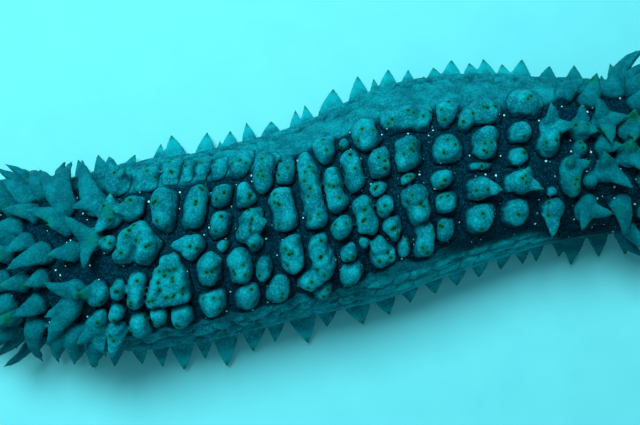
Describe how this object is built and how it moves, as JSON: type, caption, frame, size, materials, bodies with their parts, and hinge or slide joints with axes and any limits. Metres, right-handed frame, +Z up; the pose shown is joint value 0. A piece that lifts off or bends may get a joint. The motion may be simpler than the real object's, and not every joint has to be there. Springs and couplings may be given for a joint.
{
  "type": "sea cucumber",
  "caption": "Bent prickly sea cucumber on a flat sole, with swollen pads across the back, leaning points at both ends, a toothed base edge and feeding tentacles under the front.",
  "frame": {"origin": "on the flat underside of the sole, at the middle of the body, where it rests on the floor", "axes": "+X along the body towards the mouth end, which is on the right in the picture; +Y towards the animal's left flank, which is the far side in the picture; +Z up"},
  "size_m": [0.467, 0.1882, 0.0883],
  "materials": {
    "back_skin": "matt, wet skin with fine grain",
    "sole_skin": "matt",
    "tentacle_skin": "soft satin"
  },
  "bodies": {
    "root": {"rear_end": "back_skin", "rear_trunk": "back_skin", "middle_trunk": "back_skin", "front_trunk": "back_skin", "mouth_end": "back_skin", "sole_rear": "sole_skin", "sole_middle": "sole_skin", "sole_front": "sole_skin", "mouth_tentacles": "tentacle_skin"}
  },
  "joints": []
}
